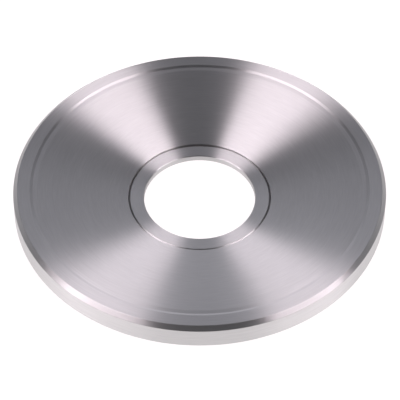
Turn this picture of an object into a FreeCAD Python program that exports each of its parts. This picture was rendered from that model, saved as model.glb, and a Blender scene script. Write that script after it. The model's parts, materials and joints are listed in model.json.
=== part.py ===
import FreeCAD, Part
import os
import Sketcher
from FreeCAD import Vector

# A bored flange disc in two turned pieces: the flange plate, whose front is dished,
# and the hub ring, which is let into the plate from the back and carries the bore.
# Millimetres, +Z up along the bore axis, origin at the centre of the flat back.

# Driving dimensions: one row of the document's spreadsheet each.
DIMENSIONS = {
    "outer_diameter": 180.0,
    "rim_thickness": 12.5,
    "rim_chamfer": 2.0,
    "back_edge_break": 0.5,
    "dish_diameter": 164.0,
    "dish_step": 0.5,
    "dish_step_width": 1.4,
    "relief_width": 2.1,
    "relief_rise": 0.2,
    "web_edge_height": 3.8,
    "web_edge_break": 0.15,
    "joint_diameter": 69.3,
    "joint_chamfer": 1.0,
    "shoulder_diameter": 74.0,
    "shoulder_height": 1.6,
    "hub_thickness": 3.3,
    "bore_diameter": 54.0,
    "bore_chamfer": 0.3,
    "bore_back_break": 0.3,
}

# Radii and heights that both pieces use, as expressions in the spreadsheet's aliases.
RIM_RADIUS = "sizes.outer_diameter / 2"
DISH_RADIUS = "sizes.dish_diameter / 2"
STEP_RADIUS = "sizes.dish_diameter / 2 - sizes.dish_step_width"
RELIEF_RADIUS = "sizes.dish_diameter / 2 - sizes.dish_step_width - sizes.relief_width"
SHOULDER_RADIUS = "sizes.shoulder_diameter / 2"
JOINT_RADIUS = "sizes.joint_diameter / 2"
BORE_RADIUS = "sizes.bore_diameter / 2"
RIM_TOP = "sizes.rim_thickness"
STEP_FOOT = "sizes.rim_thickness - sizes.dish_step"
RELIEF_FOOT = "sizes.rim_thickness - sizes.dish_step - sizes.relief_rise"
WEB_EDGE_RADIUS = "sizes.joint_diameter / 2 + sizes.web_edge_break"
WEB_EDGE = "sizes.web_edge_height"
JOINT_FOOT = "sizes.web_edge_height - sizes.web_edge_break"
HUB_TOP = "sizes.hub_thickness"
SHOULDER_TOP = "sizes.shoulder_height"
BACK = "0"

FULL_TURN = 360.0
SAME_PLACE = 1e-4
ORIGIN_POINT = (-1, 1)
RADIUS_AXIS = -1
START, END = 1, 2


def make_sheet(doc):
    sheet = doc.addObject("Spreadsheet::Sheet", "sizes")
    for row, (alias, value) in enumerate(DIMENSIONS.items(), start=1):
        sheet.set(f"A{row}", alias)
        sheet.set(f"B{row}", str(value))
        sheet.setAlias(f"B{row}", alias)
    doc.recompute()


def make_body(doc, label):
    body = doc.addObject("PartDesign::Body", label)
    body.Label = label
    body.Placement = FreeCAD.Placement(Vector(0, 0, 0), FreeCAD.Rotation())
    return body


def make_sketch(body, name):
    """A sketch on the body's XZ plane: x is the radius and y is the height."""
    sketch = body.newObject("Sketcher::SketchObject", name)
    plane = next(f for f in body.Origin.OriginFeatures if f.Role == "XZ_Plane")
    sketch.AttachmentSupport = [(plane, "")]
    sketch.MapMode = "FlatFace"
    return sketch


def value_of(body, expression):
    return float(body.evalExpression(expression))


def bind(sketch, name, constraint, expression):
    """Add a dimension to a sketch and bind it to the spreadsheet."""
    sketch.renameConstraint(sketch.addConstraint(constraint), name)
    sketch.setExpression("Constraints." + name, expression)


def place_corner(sketch, line, name, radius, height):
    """Hold the start of a line at its radius and height."""
    across = Sketcher.Constraint("DistanceX", *ORIGIN_POINT, line, START, value_of(sketch, radius))
    bind(sketch, name + "_radius", across, radius)
    if height == BACK:
        sketch.addConstraint(Sketcher.Constraint("PointOnObject", line, START, RADIUS_AXIS))
        return
    up = Sketcher.Constraint("DistanceY", *ORIGIN_POINT, line, START, value_of(sketch, height))
    bind(sketch, name + "_height", up, height)


def join(sketch, edge, next_edge):
    sketch.addConstraint(Sketcher.Constraint("Coincident", edge, END, next_edge, START))


def make_section(body, name, corners):
    """A closed outline of straight lines; corners maps a name to (radius, height)."""
    sketch = make_sketch(body, name)
    points = [Vector(value_of(body, r), value_of(body, z), 0) for r, z in corners.values()]
    for index, point in enumerate(points):
        sketch.addGeometry(Part.LineSegment(point, points[(index + 1) % len(points)]))
    for index, (corner, (radius, height)) in enumerate(corners.items()):
        join(sketch, index, (index + 1) % len(points))
        place_corner(sketch, index, corner, radius, height)
    return sketch


def turn(body, kind, name, sketch):
    """Add (Revolution) or cut (Groove) a section all the way round the bore axis."""
    before = 0.0 if body.Shape.isNull() else body.Shape.Volume
    feature = body.newObject("PartDesign::" + kind, name)
    feature.Profile = sketch
    feature.ReferenceAxis = (sketch, ["V_Axis"])
    feature.Angle = FULL_TURN
    body.Document.recompute()
    change = body.Shape.Volume - before
    if (change < 0) != (kind == "Groove") or abs(change) < SAME_PLACE:
        raise RuntimeError(f"{name} changed the volume by {change}")


def circle_at(shape, radius, height):
    """The name of the shape's circular edge with this radius and height."""
    for index, edge in enumerate(shape.Edges, start=1):
        curve = edge.Curve
        if isinstance(curve, Part.Circle) and abs(curve.Radius - radius) < SAME_PLACE:
            if abs(curve.Center.z - height) < SAME_PLACE:
                return f"Edge{index}"
    raise RuntimeError(f"no edge of radius {radius} at height {height}")


def chamfer(body, name, radius, height, width):
    """Chamfer the circular edge at this radius and height by 45 degrees."""
    base = body.Tip
    feature = body.newObject("PartDesign::Chamfer", name)
    feature.Base = (base, [circle_at(base.Shape, value_of(body, radius), value_of(body, height))])
    feature.setExpression("Size", width)
    body.Document.recompute()


def make_flange_plate(doc):
    """Rim, rim band and dished web, with a stepped hole that takes the hub ring."""
    plate = make_body(doc, "flange_plate")
    blank = make_section(plate, "blank_section", {
        "hole_back": (JOINT_RADIUS, BACK),
        "rim_back": (RIM_RADIUS, BACK),
        "rim_front": (RIM_RADIUS, RIM_TOP),
        "hole_front": (JOINT_RADIUS, RIM_TOP),
    })
    turn(plate, "Revolution", "blank", blank)
    dish = make_section(plate, "dish_section", {
        "joint_foot": (JOINT_RADIUS, JOINT_FOOT),
        "web_edge": (WEB_EDGE_RADIUS, WEB_EDGE),
        "relief_start": (RELIEF_RADIUS, RELIEF_FOOT),
        "step_foot": (STEP_RADIUS, STEP_FOOT),
        "dish_edge": (DISH_RADIUS, RIM_TOP),
        "above_joint": (JOINT_RADIUS, RIM_TOP),
    })
    turn(plate, "Groove", "dish", dish)
    rebate = make_section(plate, "rebate_section", {
        "hole_back": (JOINT_RADIUS, BACK),
        "shoulder_back": (SHOULDER_RADIUS, BACK),
        "shoulder_top": (SHOULDER_RADIUS, SHOULDER_TOP),
        "hole_top": (JOINT_RADIUS, SHOULDER_TOP),
    })
    turn(plate, "Groove", "rebate", rebate)
    chamfer(plate, "rim_front_chamfer", RIM_RADIUS, RIM_TOP, "sizes.rim_chamfer")
    chamfer(plate, "rim_back_break", RIM_RADIUS, BACK, "sizes.back_edge_break")
    return plate


def make_hub_ring(doc):
    """Flat ring with the bore; its shoulder stops against the plate's rebate."""
    ring = make_body(doc, "hub_ring")
    section = make_section(ring, "ring_section", {
        "bore_back": (BORE_RADIUS, BACK),
        "shoulder_back": (SHOULDER_RADIUS, BACK),
        "shoulder_top": (SHOULDER_RADIUS, SHOULDER_TOP),
        "joint_foot": (JOINT_RADIUS, SHOULDER_TOP),
        "joint_top": (JOINT_RADIUS, HUB_TOP),
        "bore_top": (BORE_RADIUS, HUB_TOP),
    })
    turn(ring, "Revolution", "ring", section)
    chamfer(ring, "ring_joint_chamfer", JOINT_RADIUS, HUB_TOP, "sizes.joint_chamfer")
    chamfer(ring, "bore_front_chamfer", BORE_RADIUS, HUB_TOP, "sizes.bore_chamfer")
    chamfer(ring, "bore_back_break", BORE_RADIUS, BACK, "sizes.bore_back_break")
    return ring


def check(doc, bodies):
    doc.recompute()
    failed = [each.Label for each in doc.Objects if {"Invalid", "Error"} & set(each.State)]
    if failed:
        raise RuntimeError(f"these features failed: {failed}")
    for body in bodies:
        if body.Shape.isNull() or not body.Shape.isValid():
            raise RuntimeError(f"{body.Label} has no valid shape")
        if len(body.Shape.Solids) != 1:
            raise RuntimeError(f"{body.Label} isn't one solid")


def main():
    doc = FreeCAD.newDocument("bored_flange")
    make_sheet(doc)
    bodies = [make_flange_plate(doc), make_hub_ring(doc)]
    check(doc, bodies)
    os.makedirs("parts", exist_ok=True)
    for body in bodies:
        body.Shape.exportStep(f"parts/{body.Label}.step")
        box = body.Shape.BoundBox
        print(body.Label, round(body.Shape.Volume), "mm3,", box)


main()
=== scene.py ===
import json
import math

import bpy
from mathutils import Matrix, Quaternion, Vector


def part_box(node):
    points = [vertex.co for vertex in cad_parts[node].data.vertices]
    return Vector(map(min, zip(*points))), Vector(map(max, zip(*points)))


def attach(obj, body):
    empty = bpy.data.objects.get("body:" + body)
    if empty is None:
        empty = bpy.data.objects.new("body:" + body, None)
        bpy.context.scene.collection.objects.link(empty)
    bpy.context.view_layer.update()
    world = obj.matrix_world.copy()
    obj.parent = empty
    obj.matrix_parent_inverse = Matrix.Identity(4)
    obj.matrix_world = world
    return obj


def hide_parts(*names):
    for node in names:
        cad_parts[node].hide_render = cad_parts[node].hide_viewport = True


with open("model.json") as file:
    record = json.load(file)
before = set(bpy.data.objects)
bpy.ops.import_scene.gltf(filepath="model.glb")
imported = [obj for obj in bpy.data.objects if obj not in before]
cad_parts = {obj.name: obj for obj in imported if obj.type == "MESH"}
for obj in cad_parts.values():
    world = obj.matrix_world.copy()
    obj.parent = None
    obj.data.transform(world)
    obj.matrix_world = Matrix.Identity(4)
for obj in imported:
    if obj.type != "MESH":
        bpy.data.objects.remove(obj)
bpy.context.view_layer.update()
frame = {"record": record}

MM = 0.001


def round_mount(name):
    """A round mount's radius, and the heights where its wall starts and ends, in metres."""
    mount = next(each for each in frame["record"]["mounts"] if each["name"] == name)
    middle = mount["pos_m"][2]
    half_length = 0.5 * mount["dims"]["length_mm"] * MM
    return mount["dims"]["r_mm"] * MM, middle - half_length, middle + half_length


# Sizes of the whole disc, in metres, read from the frame.
PLATE_LOW, PLATE_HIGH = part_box("flange_plate")
_, RING_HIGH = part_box("hub_ring")
RIM_RADIUS, RIM_WALL_START, RIM_WALL_END = round_mount("rim_outside")
BORE_RADIUS, BORE_WALL_START, BORE_WALL_END = round_mount("bore")
SHOULDER_RADIUS = RING_HIGH.x
RIM_TOP = PLATE_HIGH.z
HUB_TOP = RING_HIGH.z
BACK = PLATE_LOW.z

# Sizes of the turned details, in metres.
RIM_CHAMFER = RIM_TOP - RIM_WALL_END
BACK_EDGE_BREAK = RIM_WALL_START - BACK
BORE_CHAMFER = HUB_TOP - BORE_WALL_END
BORE_BACK_BREAK = BORE_WALL_START - BACK
DISH_RADIUS = 82.0 * MM
DISH_STEP = 0.5 * MM
DISH_STEP_WIDTH = 1.4 * MM
RELIEF_WIDTH = 2.1 * MM
RELIEF_RISE = 0.2 * MM
WEB_EDGE_HEIGHT = BACK + 3.8 * MM
WEB_EDGE_BREAK = 0.15 * MM
JOINT_RADIUS = 34.65 * MM
JOINT_CHAMFER = 1.0 * MM
SHOULDER_HEIGHT = BACK + 1.6 * MM

# Roundings of the section's corners, in metres.
SHARP = 0.05 * MM
SOFT = 0.15 * MM
WORN = 0.3 * MM
TOOL_NOSE = 2.0 * MM
COVE = 1.3 * MM

# The finish of each turned face, in the order of its piece's materials.
WEB, BAND, STEP, EDGE, RIM = range(5)
RING_FACE, RING_EDGE, RING_JOINT = range(3)

# The meshes' fineness: steps round the axis, and the most that a row of faces turns or spans.
LATHE_STEPS = 720
ARC_STEP = math.radians(9)
LONGEST_RUN = 4.0 * MM

# Each kind of tool mark: its pitch, how often an arc of it fades and returns, its noise detail,
# and how far it lightens or darkens the metal.
FINE_PITCH, FINE_PATCHES, FINE_DETAIL, FINE_TONE = 0.5 * MM, 8.0, 1.0, 0.035
LONG_PITCH, LONG_PATCHES, LONG_DETAIL, LONG_TONE = 1.1 * MM, 1.5, 2.0, 0.02
BROAD_PITCH, BROAD_PATCHES, BROAD_DETAIL, BROAD_TONE = 9.0 * MM, 1.0, 1.0, 0.01

# The fine marks' relief, how uneven the roughness is as a share of it, how much of a wall's height
# counts as distance across the wall, and the quarter turn from along the marks to across them.
MARK_HEIGHT = 0.0015 * MM
ROUGHNESS_SPREAD = 0.02
WALL_SHARE = 0.7
ACROSS_THE_MARKS = 0.25

# The camera's elevation, distance and aim. The aim is off the middle of the rim's top.
VIEW_ELEVATION = math.radians(47.8)
VIEW_DISTANCE = 12.0 * RIM_RADIUS
AIM_RIGHT = 0.0020 * RIM_RADIUS
AIM_BELOW = 0.0875 * RIM_RADIUS
LENS_MM = 201.4
CLIP_END = 100.0

# The studio. Radiance 1 is white. The horizon's light fades between the two elevations.
SOFTBOX_DISTANCE = 4.0
WARM = (1.065, 0.942, 1.003)
COOL = (0.98, 0.968, 1.06)
ROOM_COLOUR = (1.0, 1.0, 1.125)
ROOM_LIGHT = 0.008
HORIZON_LIGHT = 0.3
FADE_START = math.radians(8.0)
FADE_END = math.radians(28.0)
FLOOR_SIZE = 40.0
FLOOR_GAP = 0.05 * MM
FLOOR_COLOUR = (0.18, 0.175, 0.175)
FLOOR_GLOW_COLOUR = (1.0, 0.975, 0.975)
FLOOR_GLOW = 0.93


def unit(vector):
    return vector / vector.length


def round_corner(before, corner, after, radius):
    """The points of a rounded corner and the outward normals there."""
    toward_before = unit(before - corner)
    toward_after = unit(after - corner)
    half_angle = 0.5 * toward_before.angle(toward_after)
    reach = radius / math.tan(half_angle)
    middle = corner + unit(toward_before + toward_after) * (radius / math.sin(half_angle))
    first = corner + toward_before * reach
    start = math.atan2(first.y - middle.y, first.x - middle.x)
    turn = math.pi - 2.0 * half_angle
    left_turn = (corner - before).cross(after - corner) > 0.0
    sign = 1.0 if left_turn else -1.0
    steps = max(2, math.ceil(turn / ARC_STEP))
    rows = []
    for index in range(steps + 1):
        angle = start + sign * turn * index / steps
        spoke = Vector((math.cos(angle), math.sin(angle)))
        rows.append((middle + spoke * radius, spoke * sign))
    return rows


def outline_rows(corners):
    """Point, normal and finish all round a closed section.

    Corners are (radius, height, rounding, finish of the face that starts there)."""
    points = [Vector((radius, height)) for radius, height, _, _ in corners]
    arcs = []
    for index, (_, _, rounding, _) in enumerate(corners):
        after = points[(index + 1) % len(points)]
        arcs.append(round_corner(points[index - 1], points[index], after, rounding))
    outline = []
    for index, arc in enumerate(arcs):
        finish = corners[index][3]
        outline += [(point, normal, finish) for point, normal in arc]
        start, normal = arc[-1]
        end = arcs[(index + 1) % len(arcs)][0][0]
        runs = math.ceil((end - start).length / LONGEST_RUN)
        for step in range(1, runs):
            outline.append((start.lerp(end, step / runs), normal, finish))
    return outline


def lathe(name, corners, finishes):
    """A closed mesh turned about the bore axis, with the section's own normals."""
    outline = outline_rows(corners)
    count = len(outline)
    vertices = []
    normals = []
    for step in range(LATHE_STEPS):
        angle = 2.0 * math.pi * step / LATHE_STEPS
        across, along = math.cos(angle), math.sin(angle)
        for point, normal, _ in outline:
            vertices.append((point.x * across, point.x * along, point.y))
            normals.append((normal.x * across, normal.x * along, normal.y))
    faces = []
    for step in range(LATHE_STEPS):
        here = step * count
        there = (step + 1) % LATHE_STEPS * count
        for row in range(count):
            next_row = (row + 1) % count
            faces.append((here + row, there + row, there + next_row, here + next_row))
    mesh = bpy.data.meshes.new(name)
    mesh.from_pydata(vertices, [], faces)
    for finish in finishes:
        mesh.materials.append(finish)
    slots = [finish for _, _, finish in outline] * LATHE_STEPS
    mesh.polygons.foreach_set("material_index", slots)
    mesh.shade_smooth()
    mesh.normals_split_custom_set_from_vertices(normals)
    mesh.validate()
    piece = bpy.data.objects.new(name, mesh)
    bpy.context.scene.collection.objects.link(piece)
    return piece


def plate_section():
    """The flange plate's section, anticlockwise with radius to the right and height up."""
    step_radius = DISH_RADIUS - DISH_STEP_WIDTH
    step_foot = RIM_TOP - DISH_STEP
    return [
        (JOINT_RADIUS, SHOULDER_HEIGHT, SHARP, EDGE),
        (SHOULDER_RADIUS, SHOULDER_HEIGHT, SHARP, EDGE),
        (SHOULDER_RADIUS, BACK, SHARP, WEB),
        (RIM_RADIUS - BACK_EDGE_BREAK, BACK, SOFT, EDGE),
        (RIM_RADIUS, BACK + BACK_EDGE_BREAK, SOFT, RIM),
        (RIM_RADIUS, RIM_TOP - RIM_CHAMFER, WORN, EDGE),
        (RIM_RADIUS - RIM_CHAMFER, RIM_TOP, WORN, BAND),
        (DISH_RADIUS, RIM_TOP, WORN, STEP),
        (step_radius, step_foot, COVE, WEB),
        (step_radius - RELIEF_WIDTH, step_foot - RELIEF_RISE, TOOL_NOSE, WEB),
        (JOINT_RADIUS + WEB_EDGE_BREAK, WEB_EDGE_HEIGHT, SHARP, EDGE),
        (JOINT_RADIUS, WEB_EDGE_HEIGHT - WEB_EDGE_BREAK, SHARP, EDGE),
    ]


def ring_section():
    """The hub ring's section, anticlockwise."""
    return [
        (BORE_RADIUS, BACK + BORE_BACK_BREAK, SHARP, RING_EDGE),
        (BORE_RADIUS + BORE_BACK_BREAK, BACK, SHARP, RING_EDGE),
        (SHOULDER_RADIUS, BACK, SHARP, RING_EDGE),
        (SHOULDER_RADIUS, SHOULDER_HEIGHT, SHARP, RING_EDGE),
        (JOINT_RADIUS, SHOULDER_HEIGHT, SHARP, RING_EDGE),
        (JOINT_RADIUS, HUB_TOP - JOINT_CHAMFER, SHARP, RING_JOINT),
        (JOINT_RADIUS - JOINT_CHAMFER, HUB_TOP, SHARP, RING_FACE),
        (BORE_RADIUS + BORE_CHAMFER, HUB_TOP, SHARP, RING_EDGE),
        (BORE_RADIUS, HUB_TOP - BORE_CHAMFER, SHARP, RING_EDGE),
    ]


def new_material(name):
    material = bpy.data.materials.new(name)
    material.use_nodes = True
    nodes = material.node_tree.nodes
    nodes.clear()
    output = nodes.new("ShaderNodeOutputMaterial")
    return material, nodes, material.node_tree.links, output


def math_node(nodes, links, operation, *values):
    node = nodes.new("ShaderNodeMath")
    node.operation = operation
    for socket, value in zip(node.inputs, values):
        if isinstance(value, bpy.types.NodeSocket):
            links.new(value, socket)
        else:
            socket.default_value = value
    return node.outputs[0]


def vector_node(nodes, links, operation, *vectors):
    node = nodes.new("ShaderNodeVectorMath")
    node.operation = operation
    for socket, vector in zip(node.inputs, vectors):
        links.new(vector, socket)
    return node


def noise_range(nodes, links, noise, low, high):
    """Noise, which mostly lies between a quarter and three quarters, brought to low and high."""
    node = nodes.new("ShaderNodeMapRange")
    node.inputs["From Min"].default_value = 0.25
    node.inputs["From Max"].default_value = 0.75
    node.inputs["To Min"].default_value = low
    node.inputs["To Max"].default_value = high
    links.new(noise, node.inputs["Value"])
    return node.outputs[0]


def lathe_place(nodes, links):
    """The radius, the distance across the turned face, and the direction round the axis.

    The distance grows along a wall too, by a share of the height."""
    place = nodes.new("ShaderNodeTexCoord")
    split = nodes.new("ShaderNodeSeparateXYZ")
    links.new(place.outputs["Object"], split.inputs[0])
    flat = nodes.new("ShaderNodeCombineXYZ")
    links.new(split.outputs["X"], flat.inputs["X"])
    links.new(split.outputs["Y"], flat.inputs["Y"])
    radius = vector_node(nodes, links, "LENGTH", flat.outputs[0]).outputs["Value"]
    around = vector_node(nodes, links, "NORMALIZE", flat.outputs[0]).outputs[0]
    distance = math_node(nodes, links, "MULTIPLY_ADD", split.outputs["Z"], -WALL_SHARE, radius)
    return radius, distance, around


def tool_marks(nodes, links, distance, around, pitch, patches, detail):
    """Noise in arcs round the axis, one per pitch; patches is how often an arc fades and returns."""
    spread = vector_node(nodes, links, "SCALE", around)
    spread.inputs["Scale"].default_value = patches
    across = math_node(nodes, links, "DIVIDE", distance, pitch)
    lift = nodes.new("ShaderNodeCombineXYZ")
    links.new(across, lift.inputs["Z"])
    place = vector_node(nodes, links, "ADD", spread.outputs[0], lift.outputs[0])
    noise = nodes.new("ShaderNodeTexNoise")
    noise.inputs["Scale"].default_value = 1.0
    noise.inputs["Detail"].default_value = detail
    links.new(place.outputs[0], noise.inputs["Vector"])
    return noise.outputs["Fac"]


def steel_colour(nodes, links, shade, fine, long, broad):
    """The metal's shade, a little lighter or darker along each kind of mark."""
    fine_tone = noise_range(nodes, links, fine, 1.0 - FINE_TONE, 1.0 + FINE_TONE)
    long_tone = noise_range(nodes, links, long, 1.0 - LONG_TONE, 1.0 + LONG_TONE)
    broad_tone = noise_range(nodes, links, broad, 1.0 - BROAD_TONE, 1.0 + BROAD_TONE)
    tone = math_node(nodes, links, "MULTIPLY", fine_tone, long_tone)
    tone = math_node(nodes, links, "MULTIPLY", tone, broad_tone)
    tint = nodes.new("ShaderNodeMix")
    tint.data_type = "RGBA"
    tint.blend_type = "MULTIPLY"
    tint.inputs["Factor"].default_value = 1.0
    tint.inputs["A"].default_value = (shade, shade, shade, 1.0)
    links.new(tone, tint.inputs["B"])
    return tint.outputs["Result"]


def steel_roughness(nodes, links, roughness, polish, radius, long):
    """Roughness, less polish at the axis and none of it at the rim, uneven along the long marks."""
    spread = ROUGHNESS_SPREAD * roughness
    uneven = noise_range(nodes, links, long, -spread, spread)
    graded = math_node(nodes, links, "MULTIPLY_ADD", radius, polish / RIM_RADIUS, roughness - polish)
    return math_node(nodes, links, "ADD", graded, uneven)


def steel_normal(nodes, links, lean, marks, radius, fine):
    """The fine marks in relief, on a surface that leans towards the axis."""
    mark_height = math_node(nodes, links, "MULTIPLY", fine, marks)
    height = math_node(nodes, links, "MULTIPLY_ADD", radius, lean, mark_height)
    bump = nodes.new("ShaderNodeBump")
    bump.inputs["Distance"].default_value = 1.0
    links.new(height, bump.inputs["Height"])
    return bump.outputs[0]


def turned_steel(name, roughness, anisotropy=1.0, lean=0.0, shade=0.58, polish=0.0, marks=0.0):
    """Stainless steel off a lathe, its highlight drawn across the rings of fine tool marks.

    The flanks of the marks face the axis: lean is their slope. The surface gets smoother
    towards the axis by polish. Marks is the height of the fine marks in relief."""
    material, nodes, links, output = new_material(name)
    radius, distance, around = lathe_place(nodes, links)
    fine = tool_marks(nodes, links, distance, around, FINE_PITCH, FINE_PATCHES, FINE_DETAIL)
    long = tool_marks(nodes, links, distance, around, LONG_PITCH, LONG_PATCHES, LONG_DETAIL)
    broad = tool_marks(nodes, links, distance, around, BROAD_PITCH, BROAD_PATCHES, BROAD_DETAIL)
    tangent = nodes.new("ShaderNodeTangent")
    tangent.direction_type = "RADIAL"
    tangent.axis = "Z"
    shader = nodes.new("ShaderNodeBsdfPrincipled")
    shader.inputs["Metallic"].default_value = 1.0
    shader.inputs["Anisotropic"].default_value = anisotropy
    shader.inputs["Anisotropic Rotation"].default_value = ACROSS_THE_MARKS
    links.new(tangent.outputs[0], shader.inputs["Tangent"])
    links.new(steel_colour(nodes, links, shade, fine, long, broad), shader.inputs["Base Color"])
    links.new(steel_roughness(nodes, links, roughness, polish, radius, long), shader.inputs["Roughness"])
    links.new(steel_normal(nodes, links, lean, marks, radius, fine), shader.inputs["Normal"])
    links.new(shader.outputs[0], output.inputs["Surface"])
    return material


def pale_floor():
    """A white floor, seen only from above: a look at the disc's back passes through it."""
    material, nodes, links, output = new_material("pale_floor")
    diffuse = nodes.new("ShaderNodeBsdfDiffuse")
    diffuse.inputs["Color"].default_value = (*FLOOR_COLOUR, 1.0)
    glow = nodes.new("ShaderNodeEmission")
    glow.inputs["Color"].default_value = (*FLOOR_GLOW_COLOUR, 1.0)
    glow.inputs["Strength"].default_value = FLOOR_GLOW
    total = nodes.new("ShaderNodeAddShader")
    links.new(diffuse.outputs[0], total.inputs[0])
    links.new(glow.outputs[0], total.inputs[1])
    side = nodes.new("ShaderNodeNewGeometry")
    clear = nodes.new("ShaderNodeBsdfTransparent")
    one_sided = nodes.new("ShaderNodeMixShader")
    links.new(side.outputs["Backfacing"], one_sided.inputs[0])
    links.new(total.outputs[0], one_sided.inputs[1])
    links.new(clear.outputs[0], one_sided.inputs[2])
    links.new(one_sided.outputs[0], output.inputs["Surface"])
    return material


def add_floor():
    half = 0.5 * FLOOR_SIZE
    level = BACK - FLOOR_GAP
    corners = [(x * half, y * half, level) for x, y in ((-1, -1), (1, -1), (1, 1), (-1, 1))]
    mesh = bpy.data.meshes.new("floor")
    mesh.from_pydata(corners, [], [(0, 1, 2, 3)])
    mesh.materials.append(pale_floor())
    floor = bpy.data.objects.new("floor", mesh)
    bpy.context.scene.collection.objects.link(floor)


def direction(azimuth, elevation):
    """Azimuth 0 is +X and 90 is +Y, in degrees."""
    a = math.radians(azimuth)
    e = math.radians(elevation)
    return Vector((math.cos(e) * math.cos(a), math.cos(e) * math.sin(a), math.sin(e)))


def add_softbox(name, azimuth, elevation, roll, wide, high, radiance, colour):
    """A softbox facing the disc; wide and high are the degrees that it fills as seen from there."""
    light = bpy.data.lights.new(name, "AREA")
    light.shape = "RECTANGLE"
    light.size = 2.0 * SOFTBOX_DISTANCE * math.tan(math.radians(wide / 2.0))
    light.size_y = 2.0 * SOFTBOX_DISTANCE * math.tan(math.radians(high / 2.0))
    light.energy = math.pi * radiance * light.size * light.size_y
    light.color = colour
    box = bpy.data.objects.new(name, light)
    away = direction(azimuth, elevation)
    facing = away.to_track_quat("Z", "Y") @ Quaternion((0.0, 0.0, 1.0), math.radians(roll))
    box.location = away * SOFTBOX_DISTANCE
    box.rotation_euler = facing.to_euler()
    box.visible_camera = False
    bpy.context.scene.collection.objects.link(box)


def add_softboxes():
    """Two bright softboxes high at the sides, and a broad dim one low behind the disc."""
    add_softbox("softbox_left", azimuth=190.5, elevation=56.5, roll=-30.0,
                wide=26.5, high=35.5, radiance=7.4, colour=WARM)
    add_softbox("softbox_right", azimuth=351.5, elevation=55.5, roll=43.5,
                wide=21.0, high=30.5, radiance=9.4, colour=WARM)
    add_softbox("softbox_behind", azimuth=91.0, elevation=26.0, roll=0.0,
                wide=32.0, high=50.0, radiance=1.0, colour=COOL)


def room_light(nodes, links):
    """The strength of the room's light: dim overhead, and brighter all round the horizon."""
    place = nodes.new("ShaderNodeTexCoord")
    split = nodes.new("ShaderNodeSeparateXYZ")
    links.new(place.outputs["Generated"], split.inputs[0])
    fade = nodes.new("ShaderNodeMapRange")
    fade.interpolation_type = "SMOOTHSTEP"
    fade.inputs["From Min"].default_value = math.sin(FADE_START)
    fade.inputs["From Max"].default_value = math.sin(FADE_END)
    fade.inputs["To Min"].default_value = HORIZON_LIGHT
    fade.inputs["To Max"].default_value = ROOM_LIGHT
    links.new(split.outputs["Z"], fade.inputs["Value"])
    return fade.outputs[0]


def add_world():
    """A dim room to light the disc, and a white backdrop where the camera looks past it."""
    world = bpy.data.worlds.new("studio")
    bpy.context.scene.world = world
    world.use_nodes = True
    nodes = world.node_tree.nodes
    links = world.node_tree.links
    nodes.clear()
    room = nodes.new("ShaderNodeBackground")
    room.inputs["Color"].default_value = (*ROOM_COLOUR, 1.0)
    links.new(room_light(nodes, links), room.inputs["Strength"])
    backdrop = nodes.new("ShaderNodeBackground")
    backdrop.inputs["Color"].default_value = (1.0, 1.0, 1.0, 1.0)
    path = nodes.new("ShaderNodeLightPath")
    mix = nodes.new("ShaderNodeMixShader")
    output = nodes.new("ShaderNodeOutputWorld")
    links.new(path.outputs["Is Camera Ray"], mix.inputs[0])
    links.new(room.outputs[0], mix.inputs[1])
    links.new(backdrop.outputs[0], mix.inputs[2])
    links.new(mix.outputs[0], output.inputs["Surface"])


def add_camera():
    """A camera in front of the disc and above it, with a long lens."""
    data = bpy.data.cameras.new("camera")
    data.lens = LENS_MM
    data.clip_end = CLIP_END
    camera = bpy.data.objects.new("camera", data)
    right = Vector((1.0, 0.0, 0.0))
    up = Vector((0.0, math.sin(VIEW_ELEVATION), math.cos(VIEW_ELEVATION)))
    back = right.cross(up)
    aim = Vector((0.0, 0.0, RIM_TOP)) + right * AIM_RIGHT - up * AIM_BELOW
    camera.location = aim + back * VIEW_DISTANCE
    camera.rotation_euler = (math.radians(90.0) - VIEW_ELEVATION, 0.0, 0.0)
    bpy.context.scene.collection.objects.link(camera)
    bpy.context.scene.camera = camera


def add_plate():
    finishes = [
        turned_steel("web_steel", roughness=0.392, lean=0.0185, polish=0.035, marks=MARK_HEIGHT),
        turned_steel("band_steel", roughness=0.377, lean=0.13, marks=MARK_HEIGHT),
        turned_steel("step_steel", roughness=0.36),
        turned_steel("edge_steel", roughness=0.3),
        # The rim's outer wall gets lighter steel than the faces: painted light, standing in for the
        # wall's brighter reflection.
        turned_steel("rim_lit_steel", roughness=0.35, shade=0.72),
    ]
    plate = lathe("flange_plate_turned", plate_section(), finishes)
    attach(plate, "root")
    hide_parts("flange_plate")


def add_ring():
    finishes = [
        turned_steel("ring_steel", roughness=0.355, anisotropy=0.99, lean=0.09, shade=0.565,
                     marks=MARK_HEIGHT),
        turned_steel("ring_edge_steel", roughness=0.32),
        # The joint's chamfer gets darker steel than the rest of the ring: painted shade in the seam
        # between the ring and the plate.
        turned_steel("joint_shaded_steel", roughness=0.34, anisotropy=0.97, shade=0.5),
    ]
    ring = lathe("hub_ring_turned", ring_section(), finishes)
    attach(ring, "root")
    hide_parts("hub_ring")


bpy.context.scene.view_settings.view_transform = "Standard"
add_camera()
add_plate()
add_ring()
add_floor()
add_world()
add_softboxes()
